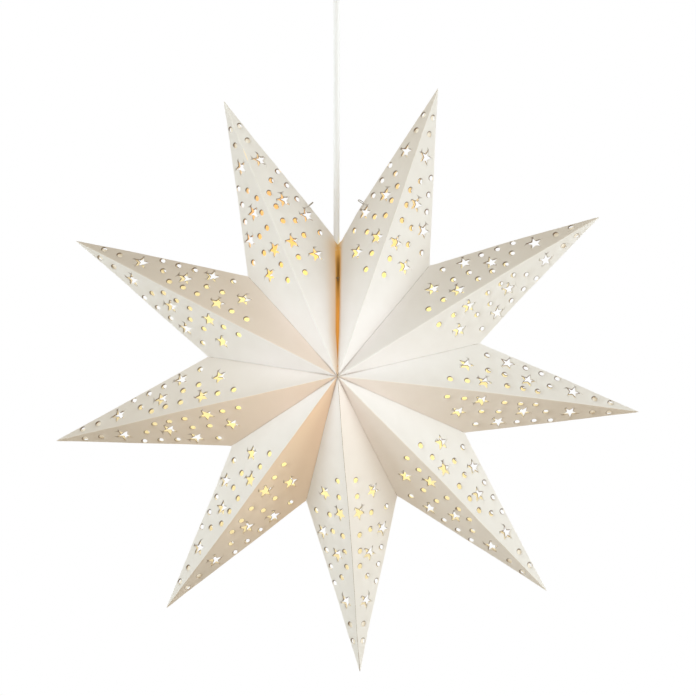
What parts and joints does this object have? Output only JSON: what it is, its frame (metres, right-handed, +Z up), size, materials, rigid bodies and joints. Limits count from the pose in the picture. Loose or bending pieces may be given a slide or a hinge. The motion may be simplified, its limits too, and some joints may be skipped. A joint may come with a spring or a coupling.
{
  "type": "paper star lantern",
  "caption": "Hanging star lantern of folded white card with star and dot cut-outs, lit by a bulb inside and hung by a cord from a ceiling cup.",
  "frame": {"origin": "centre of the two screw holes in the plate's upper face, on the ceiling", "axes": "+Z up, the cord hangs along -Z; the star's front faces -Y; +X to the viewer's right"},
  "size_m": [0.5895, 0.1596, 0.7692],
  "materials": {
    "card": "matte",
    "thread": "matte",
    "cord_sheath": "satin",
    "white_plastic": "satin",
    "white_metal": "satin",
    "steel": "satin",
    "brass": "satin",
    "insert": "matte",
    "bulb_ring": "gloss",
    "bulb_glass": "gloss",
    "light_stick": "matte",
    "brown_core": "satin",
    "blue_core": "satin",
    "bulb_stem": "gloss"
  },
  "bodies": {
    "ceiling": {"ceiling_plate": "steel", "cup": "white_metal", "cup_screws": "steel", "terminal_block": "white_plastic", "block_screw": "steel", "terminal_screws": "brass", "cord_grip": "white_plastic", "cord_grip_nut": "steel", "cord_grip_screw": "steel", "cord_top": "cord_sheath", "live_core_top": "brown_core", "neutral_core_top": "blue_core"},
    "cord": {"cord": "cord_sheath"},
    "holder": {"holder_grip": "white_plastic", "holder_grip_screw": "steel", "cord_end": "cord_sheath", "live_core_end": "brown_core", "neutral_core_end": "blue_core", "holder_cap": "white_plastic", "holder_insert": "insert", "insert_screws": "brass", "centre_contact": "brass", "thread_shell": "brass", "holder_skirt": "white_plastic"},
    "bulb_tip": {"bulb_tip": "brass"},
    "bulb": {"bulb_ring": "bulb_ring", "bulb_cap": "brass", "bulb_glass": "bulb_glass", "bulb_stem": "bulb_stem", "light_sticks": "light_stick"},
    "star": {"point_5": "card", "seam_tie": "thread"},
    "side_1": {"point_1": "card", "edge_loop_1": "thread"},
    "side_2": {"point_2": "card"},
    "side_3": {"point_3": "card"},
    "side_4": {"point_4": "card"},
    "side_6": {"point_6": "card"},
    "side_7": {"point_7": "card"},
    "side_8": {"point_8": "card"},
    "side_9": {"point_9": "card", "edge_loop_9": "thread"}
  },
  "joints": [
    {"name": "cord_swing", "type": "hinge", "parent": "ceiling", "child": "cord", "pos_m": [0, 0, -0.064], "axis": [1, 0, 0], "range_deg": [-15, 15]},
    {"name": "star_twist", "type": "hinge", "parent": "cord", "child": "holder", "pos_m": [0, 0, -0.364], "axis": [0, 0, 1], "range_deg": [-180, 180], "stiffness_Nm_per_rad": 0.002},
    {"name": "star_lean", "type": "hinge", "parent": "holder", "child": "star", "pos_m": [0.0025, 0, -0.3627], "axis": [0, 1, 0], "range_deg": [-2, 8]},
    {"name": "bulb_travel", "type": "slide", "parent": "holder", "child": "bulb_tip", "axis": [0, 0, -1], "range_m": [0, 0.0141]},
    {"name": "bulb_turn", "type": "hinge", "parent": "bulb_tip", "child": "bulb", "pos_m": [0, 0, -0.42], "axis": [0, 0, -1], "range_deg": [0, 1800]},
    {"name": "fold_right", "type": "hinge", "parent": "star", "child": "side_1", "pos_m": [0.00791, 0, -0.46956], "axis": [0, 1, 0], "range_deg": [0, 152], "deforming": ["point_1", "point_5"]},
    {"name": "fold_right_2", "type": "hinge", "parent": "star", "child": "side_2", "pos_m": [0.00791, 0, -0.46956], "axis": [0, 1, 0], "range_deg": [0, 114], "deforming": ["point_2"]},
    {"name": "fold_right_3", "type": "hinge", "parent": "star", "child": "side_3", "pos_m": [0.00791, 0, -0.46956], "axis": [0, 1, 0], "range_deg": [0, 76], "deforming": ["point_3"]},
    {"name": "fold_right_4", "type": "hinge", "parent": "star", "child": "side_4", "pos_m": [0.00791, 0, -0.46956], "axis": [0, 1, 0], "range_deg": [0, 38], "deforming": ["point_4"]},
    {"name": "fold_left", "type": "hinge", "parent": "star", "child": "side_9", "pos_m": [0.00791, 0, -0.46956], "axis": [0, -1, 0], "range_deg": [0, 152], "deforming": ["point_9"]},
    {"name": "fold_left_8", "type": "hinge", "parent": "star", "child": "side_8", "pos_m": [0.00791, 0, -0.46956], "axis": [0, -1, 0], "range_deg": [0, 114], "deforming": ["point_8"]},
    {"name": "fold_left_7", "type": "hinge", "parent": "star", "child": "side_7", "pos_m": [0.00791, 0, -0.46956], "axis": [0, -1, 0], "range_deg": [0, 76], "deforming": ["point_7"]},
    {"name": "fold_left_6", "type": "hinge", "parent": "star", "child": "side_6", "pos_m": [0.00791, 0, -0.46956], "axis": [0, -1, 0], "range_deg": [0, 38], "deforming": ["point_6"]}
  ],
  "couplings": [
    {"joint": "bulb_travel", "follows": "bulb_turn", "m_per_rad": 0.00044882},
    {"joint": "fold_right_2", "follows": "fold_right", "ratio": 0.75},
    {"joint": "fold_right_3", "follows": "fold_right", "ratio": 0.5},
    {"joint": "fold_right_4", "follows": "fold_right", "ratio": 0.25},
    {"joint": "fold_left_8", "follows": "fold_left", "ratio": 0.75},
    {"joint": "fold_left_7", "follows": "fold_left", "ratio": 0.5},
    {"joint": "fold_left_6", "follows": "fold_left", "ratio": 0.25}
  ]
}
